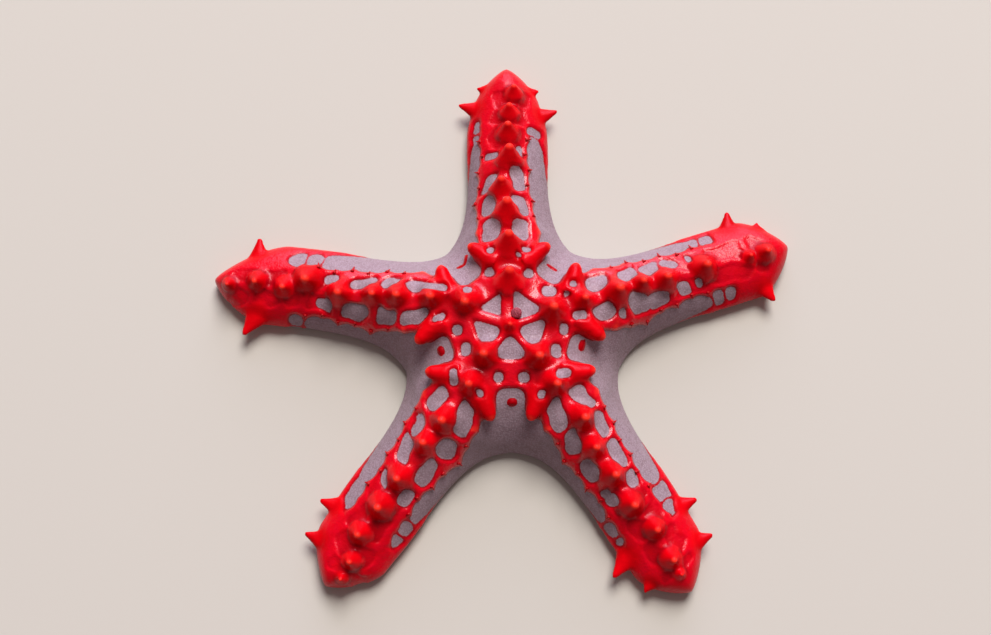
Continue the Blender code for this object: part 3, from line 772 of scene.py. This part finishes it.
# Cream paving with darker joints, where the skin faces down and away from the growths.
joint = add(tree, "MapRange", smoothstep, i0=paving, i1=0.0, i2=0.16, i3=1.0, i4=0.0)
sole_hue = add(tree, "Mix", rgb, i0=mottled, i6=linear("c4a99c"), i7=linear("dccbba"), out=2)
sole_hue = add(tree, "Mix", rgb, i0=joint, i6=sole_hue, i7=linear("96766e"), out=2)
facing = add(tree, "SeparateXYZ", i0=add(tree, "NewGeometry", out="Normal"), out=2)
sole_share = add(tree, "MapRange", smoothstep, i0=facing, i1=-0.25, i2=-0.75)
sole_share = add(tree, "Math", multiply, i0=sole_share, i1=between_at)

colour = add(tree, "Mix", rgb, i0=grey_share, i6=red_hue, i7=grey_hue, out=2)
colour = add(tree, "Mix", rgb, i0=sole_share, i6=colour, i7=sole_hue, out=2)
tree.links.new(colour, shader.inputs["Base Color"])

# The skin itself mirrors little. The film of water over it mirrors more, mostly on the red.
rough = add(tree, "MapRange", i0=between_at, i3=0.34, i4=0.36)
rough = add(tree, "Math", multiply_add, i0=grey_share, i1=0.12, i2=rough)
tree.links.new(rough, shader.inputs["Roughness"])
shader.inputs["IOR"].default_value = 1.24
shader.inputs["Specular Tint"].default_value = linear("ffa2c5")
wet_film = add(tree, "Math", multiply_add, i0=grey_share, i1=-0.6, i2=0.75)
wet_film = add(tree, "Math", multiply, i0=wet_film, i1=film_at)
tree.links.new(wet_film, shader.inputs["Coat Weight"])
shader.inputs["Coat Roughness"].default_value = 0.22
shader.inputs["Coat IOR"].default_value = 1.45

# The grains stand up most on the bare skin, less between the knobs and hardly at all on them. The red
# skin between the knobs is wrinkled too, and the film of water evens all this out a little.
grain_share = add(tree, "MapRange", i0=between_at, i3=0.06, i4=0.4)
grey_grain = add(tree, "Math", multiply, i0=grey_share, i1=0.5)
grain_share = add(tree, "Math", maximum, i0=grain_share, i1=grey_grain)
height = add(tree, "Math", multiply, i0=grain_high, i1=grain_share)
height = add(tree, "Math", multiply_add, i0=mottle, i1=1.5, i2=height)
wrinkled = add(tree, "Math", {"operation": "SUBTRACT"}, i0=between_at, i1=grey_share)
wrinkled = add(tree, "Math", multiply, i0=wrinkled, i1=wrinkles)
height = add(tree, "Math", multiply_add, i0=wrinkled, i1=-0.9, i2=height)
for socket, strength in (("Normal", 0.45), ("Coat Normal", 0.3)):
    bump = add(tree, "Bump", Strength=strength, Distance=0.25 * MM, Height=height)
    tree.links.new(bump, shader.inputs[socket])
skin.data.materials.clear()
skin.data.materials.append(wet_skin)
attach(skin, "root")
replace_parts(skin, "disc", "arm_back", "arm_right", "arm_front_right", "arm_front_left", "arm_left")

# ------------------------------------------------------------
# Thorns. A short sharp thorn of chalk points out from each joint of the plates along the shoulders,
# under the same red skin. Those at every second joint are longer.

thorn_radius, thorn_root, thorn_clear = 0.85, 0.8, 3.5
# The joints that carry a thorn, counted outward from the large one.
thorn_joints = range(-1, 5)
# How far outside the line the small and the large thorns stand, and their share of the full length.
thorn_out, thorn_share = (-0.5, 0.5), (0.55, 1.0)
skin_surface = BVHTree.FromObject(skin, bpy.context.evaluated_depsgraph_get())


def on_skin(place):
    """The point of the finished skin straight below this one, in millimetres, and its outward way."""
    found = skin_surface.ray_cast(Vector((place.x, place.y, 2.0 * disc_height)) * MM, -up)
    return found[0] / MM, found[1]


def add_spike(mesh, root, direction, length, radius, sides=6, flat=1.0):
    """A closed spike that narrows in a hollow curve to a small round point. flat presses it thin."""
    place = Matrix.Translation(root) @ up.rotation_difference(direction).to_matrix().to_4x4()
    rings = []
    for height, share in ((0.0, 1.0), (0.35, 0.62), (0.75, 0.34), (0.95, 0.2), (1.0, 0.06)):
        turns = [2.0 * math.pi * k / sides for k in range(sides)]
        rings.append([mesh.verts.new(place @ Vector((radius * share * math.cos(a),
                                                     radius * share * flat * math.sin(a), height * length)))
                      for a in turns])
    join_rings(mesh, rings)


def finished_piece(name, mesh, finish):
    """Turns a mesh in millimetres into a smooth piece of the model in its finish."""
    for vert in mesh.verts:
        vert.co *= MM
    data = bpy.data.meshes.new(name)
    mesh.to_mesh(data)
    mesh.free()
    data.shade_smooth()
    data.materials.append(finish)
    piece = put_in_scene(name, data)
    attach(piece, "root")
    return piece


thorns = bmesh.new()
draw = np.random.default_rng(11)
for name, arm in arms.items():
    outward, across = ways(arm["bearing"])
    for side in (-1, 1):
        for k in thorn_joints:
            s = large_joint + k * plate_pitch
            rim = half_width(arm, s, *axil_beside(name, side))
            large = k % 2 == 0
            t = min(roll_at(name, s) * side + line_at(name, side, s) + thorn_out[large], rim - thorn_clear)
            root, away = on_skin(world(arm, s, side * t, 0.0))
            aim = across * side + outward * draw.uniform(-0.1, 0.3)
            aim = (aim - away * away.dot(aim)).normalized() + away * 0.3
            length = draw.uniform(1.3, 1.9) * thorn_share[large] + thorn_root
            root = root - aim * thorn_root
            add_spike(thorns, root, aim.normalized(), length, thorn_radius * draw.uniform(0.9, 1.3))

# Chalk under a thin wet skin: deep red, unevenly mottled, with soft lights.
thorn_skin, tree, shader = new_finish("wet_skin_over_thorns")
place = add(tree, "TexCoord", out="Object")
mottle = add(tree, "TexNoise", Vector=place, Scale=1000 / mottle_size, Detail=3.0, out="Fac")
deep = add(tree, "Mix", rgb, i0=mottle, i6=linear("8c0008"), i7=linear("c4000c"), out=2)
tree.links.new(deep, shader.inputs["Base Color"])
shader.inputs["Roughness"].default_value = 0.35
shader.inputs["IOR"].default_value = 1.3
finished_piece("thorns", thorns, thorn_skin)

# ------------------------------------------------------------
# The sieve plate. A button of pierced chalk near the middle knob lets water into the animal's canals.
# It is crowned, and cut by fine grooves that run out from its middle.

sieve_low, sieve_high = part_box("sieve_plate")
sieve_middle = (sieve_low + sieve_high) / 2 / MM
sieve_radius = (sieve_high.x - sieve_low.x) / 2 / MM
sieve_crown, groove_count, groove_depth = 0.8, 22, 0.2
top_rings, side_rings, ring_points = 12, 2, 132
sieve = bmesh.new()
sieve_floor = on_skin(sieve_middle)[0].z - 1.0
sieve_rings = []
for k in range(1, top_rings + side_rings + 1):
    r = min(k / top_rings, 1.0) * sieve_radius
    ring = []
    for turn in range(ring_points):
        angle = 2.0 * math.pi * turn / ring_points
        wander = angle + 0.25 * math.sin(3.0 * angle + 2.5 * r)
        groove = groove_depth * (0.5 + 0.5 * math.sin(groove_count * wander))
        groove *= float(smooth(r / sieve_radius * 2.0))
        z = sieve_high.z / MM - sieve_crown * (r / sieve_radius) ** 3 - groove
        z = z if k <= top_rings else z + (sieve_floor - z) * (k - top_rings) / side_rings
        place = sieve_middle + Vector((math.cos(angle), math.sin(angle), 0)) * r
        ring.append(sieve.verts.new((place.x, place.y, z)))
    sieve_rings.append(ring)
top = sieve.verts.new((sieve_middle.x, sieve_middle.y, sieve_high.z / MM))
for a, b in zip(sieve_rings[0], sieve_rings[0][1:] + sieve_rings[0][:1]):
    sieve.faces.new((top, a, b))
for inner_ring, outer_ring in zip(sieve_rings, sieve_rings[1:]):
    for k in range(ring_points):
        after = (k + 1) % ring_points
        sieve.faces.new((inner_ring[k], outer_ring[k], outer_ring[after], inner_ring[after]))
sieve.faces.new(sieve_rings[-1][::-1])

# Porous chalk, stained red: dark pores 0.45 mm apart, paler worn ridges between them, and a soft gloss.
pore_size = 0.45
sieve_chalk, tree, shader = new_finish("stained_porous_chalk")
place = add(tree, "TexCoord", out="Object")
pores = add(tree, "TexVoronoi", Vector=place, Scale=1000 / pore_size, out="Distance")
ridge = add(tree, "MapRange", smoothstep, i0=pores, i1=0.25, i2=0.6)
stain = add(tree, "Mix", rgb, i0=ridge, i6=linear("6a0614"), i7=linear("a64656"), out=2)
tree.links.new(stain, shader.inputs["Base Color"])
tree.links.new(add(tree, "Bump", Strength=0.5, Distance=0.2 * MM, Height=pores), shader.inputs["Normal"])
shader.inputs["Roughness"].default_value = 0.4
shader.inputs["IOR"].default_value = 1.35
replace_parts(finished_piece("sieve_plate_grooved", sieve, sieve_chalk), "sieve_plate")

# ------------------------------------------------------------
# The mouth. Five jaws of chalk plates close on it from between the arms, each fringed with blunt
# spines that point at the middle.

jaws = bmesh.new()
jaw_reach = (mouth_high.x - mouth_low.x) / 2 / MM
jaw_tip, jaw_floor, jaw_height = 1.1, 0.5, 3.6
jaw_steps, jaw_arch = 8, 10
jaw_bearings = [arms[right]["bearing"] + math.degrees(half_turn_beside(right, 1)[0]) for right, _ in axils]
for degrees in jaw_bearings:
    outward, across = ways(degrees)
    middle = Vector((mouth.x, mouth.y, 0))
    sections = []
    for k in range(jaw_steps + 1):
        share = k / jaw_steps
        r = jaw_tip + (jaw_reach - jaw_tip) * share
        half = (0.55 + 2.3 * share) * math.sqrt(max(1.0 - max(share - 0.85, 0.0) ** 2 * 20, 0.1))
        low = jaw_floor + 0.5 * (1.0 - min(share * 3.0, 1.0))
        turns = [math.pi * n / jaw_arch for n in range(jaw_arch + 1)]
        sections.append([jaws.verts.new(middle + outward * r - across * half * math.cos(a)
                                        + up * (low + (jaw_height - low) * (1.0 - math.sin(a) ** 0.6)))
                         for a in turns])
    for inner_row, outer_row in zip(sections, sections[1:]):
        for n in range(jaw_arch):
            jaws.faces.new((inner_row[n], outer_row[n], outer_row[n + 1], inner_row[n + 1]))
        jaws.faces.new((inner_row[0], inner_row[-1], outer_row[-1], outer_row[0]))
    jaws.faces.new(sections[0])
    jaws.faces.new(sections[-1][::-1])
    for side in (-1, 1):
        for n in range(4):
            share = 0.05 + 0.26 * n
            root = (middle + outward * (jaw_tip + 0.4 + (jaw_reach - jaw_tip) * share)
                    + across * side * (0.3 + 2.0 * share) + up * 0.95)
            aim = (-outward * (1.0 - 0.2 * n) - across * side * (0.1 + 0.35 * n) - up * 0.2).normalized()
            add_spike(jaws, root, aim, 1.9 - 0.15 * n, 0.5, flat=0.6)
bmesh.ops.recalc_face_normals(jaws, faces=jaws.faces)

# Chalk plates under thin skin: cream with browner patches, a little rough.
jaw_chalk, tree, shader = new_finish("skinned_chalk_plates")
place = add(tree, "TexCoord", out="Object")
mottle = add(tree, "TexNoise", Vector=place, Scale=1000 / mottle_size, Detail=4.0, out="Fac")
fine = add(tree, "TexNoise", Vector=place, Scale=1000 / grain_size, Detail=2.0, out="Fac")
cream = add(tree, "Mix", rgb, i0=mottle, i6=linear("a88a7c"), i7=linear("ddcbb8"), out=2)
tree.links.new(cream, shader.inputs["Base Color"])
tree.links.new(add(tree, "Bump", Strength=0.3, Distance=0.2 * MM, Height=fine), shader.inputs["Normal"])
shader.inputs["Roughness"].default_value = 0.5
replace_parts(finished_piece("jaws", jaws, jaw_chalk), "mouth")

# ------------------------------------------------------------
# Furrow spines. Each furrow is fenced on both sides by combs of small flat spines, three to a plate,
# which fold over the tube feet when the animal rests.

# The combs keep clear of the jaws and of the tip.
comb_pitch, comb_clear, comb_spread = 2.1, (2.4, 6.5), (-0.45, 0.0, 0.45)
comb_length, comb_radius = 2.3, 0.42
combs = bmesh.new()
draw = np.random.default_rng(12)
for arm in arms.values():
    outward, across = ways(arm["bearing"])
    for s in np.arange(jaw_reach + comb_clear[0], arm["length"] - comb_clear[1], comb_pitch):
        narrow = float(smooth((arm["length"] - s) / 9.0 - 0.2))
        for side in (-1, 1):
            for fan in comb_spread:
                root = world(arm, s + fan * 1.2, side * (furrow_half * narrow + 0.5), 0.85)
                aim = -across * side + outward * (fan * 0.8 + 0.15) - up * draw.uniform(0.05, 0.2)
                length = comb_length * (0.5 + 0.5 * narrow)
                add_spike(combs, root, aim.normalized(), length, comb_radius, sides=5, flat=0.6)
finished_piece("furrow_spines", combs, jaw_chalk)

# ------------------------------------------------------------
# Tube feet. Two rows of soft feet hang in each furrow, each a thin water-filled tube that ends in a
# round sucker just above the ground.

foot_pitch, foot_clear, foot_row, foot_sides = 2.7, (2.0, 9.0), 1.15, 10
feet = bmesh.new()
draw = np.random.default_rng(13)
# From the roof of the furrow down, as (radius, share of the height): a tube, and a sucker with a lip.
foot_profile = ((0.52, 1.0), (0.46, 0.75), (0.42, 0.45), (0.5, 0.25), (0.78, 0.12), (0.74, 0.03), (0.3, 0.06))
for arm in arms.values():
    for s in np.arange(jaw_reach + foot_clear[0], arm["length"] - foot_clear[1], foot_pitch):
        for side in (-1, 1):
            base = world(arm, s + side * foot_pitch / 4.0, side * foot_row, 0.2)
            roof = world(arm, s + draw.uniform(-0.4, 0.4), side * (foot_row - 0.2), furrow_depth + 0.3)
            rings = []
            for r, share in foot_profile:
                middle = base + (roof - base) * share
                rings.append([feet.verts.new(middle + Vector((r * math.cos(a), r * math.sin(a), 0)))
                              for a in [2.0 * math.pi * k / foot_sides for k in range(foot_sides)]])
            join_rings(feet, rings)
bmesh.ops.recalc_face_normals(feet, faces=feet.faces)

# Soft wet tissue full of water: amber, glossy and faintly mottled.
foot_tissue, tree, shader = new_finish("watery_tissue")
place = add(tree, "TexCoord", out="Object")
mottle = add(tree, "TexNoise", Vector=place, Scale=1000 / mottle_size, Detail=3.0, out="Fac")
amber = add(tree, "Mix", rgb, i0=mottle, i6=linear("c49a66"), i7=linear("ead2a8"), out=2)
tree.links.new(amber, shader.inputs["Base Color"])
shader.inputs["Roughness"].default_value = 0.2
shader.inputs["IOR"].default_value = 1.35
finished_piece("tube_feet", feet, foot_tissue)

# ------------------------------------------------------------
# Floor, light and camera. The model lies on matte paper, under a broad lamp that stands high behind it
# and a bluish one that stands low, like open sky. The camera looks down at it steeply from the front.

bpy.context.scene.view_settings.view_transform = "Standard"
floor_mesh = bmesh.new()
bmesh.ops.create_grid(floor_mesh, x_segments=1, y_segments=1, size=20.0)
floor_data = bpy.data.meshes.new("floor")
floor_mesh.to_mesh(floor_data)
floor = put_in_scene("floor", floor_data)

# Uncoated paper: a pale warm grey with no gloss.
paper, _, shader = new_finish("matte_paper")
shader.inputs["Base Color"].default_value = linear("bdb7ae")
shader.inputs["Roughness"].default_value = 0.9
floor_data.materials.append(paper)

# A faint rosy light from all round softens the shade. The wet skin mirrors little of it, so that its
# reds stay deep.
sky = bpy.data.worlds.new("sky")
bpy.context.scene.world = sky
sky.use_nodes = True
sky_light = sky.node_tree.nodes["Background"]
sky_light.inputs["Color"].default_value = (1.0, 0.82, 0.84, 1.0)
mirrored = add(sky.node_tree, "LightPath", out="Is Glossy Ray")
strength = add(sky.node_tree, "MapRange", i0=mirrored, i3=0.22, i4=0.04)
sky.node_tree.links.new(strength, sky_light.inputs["Strength"])


def lamp(name, place, size, power, colour):
    """A round lamp of this size in metres, turned to the model."""
    data = bpy.data.lights.new(name, "AREA")
    data.shape = "DISK"
    data.size, data.energy, data.color = size, power, colour
    thing = put_in_scene(name, data)
    thing.location = place
    thing.rotation_euler = (-Vector(place)).to_track_quat("-Z", "Y").to_euler()


lamp("key", (0.9, 3.5, 4.6), 3.2, 475, (1.0, 0.98, 0.96))
lamp("low_sky", (0.3, 5.4, 1.9), 5.2, 290, (0.72, 0.74, 1.0))

sensor, image_width, focal_length = 36.0, 991.0, 1300.0
elevation, distance = math.radians(78.0), 0.5
aim = Vector((mouth.x - 5.4, mouth.y + 5.7, 15.0)) * MM
eye = aim + Vector((0, -math.cos(elevation), math.sin(elevation))) * distance
camera_data = bpy.data.cameras.new("camera")
camera_data.sensor_width = sensor
camera_data.lens = focal_length / image_width * sensor
camera = put_in_scene("camera", camera_data)
camera.location = eye
camera.rotation_euler = (aim - eye).to_track_quat("-Z", "Y").to_euler()
bpy.context.scene.camera = camera
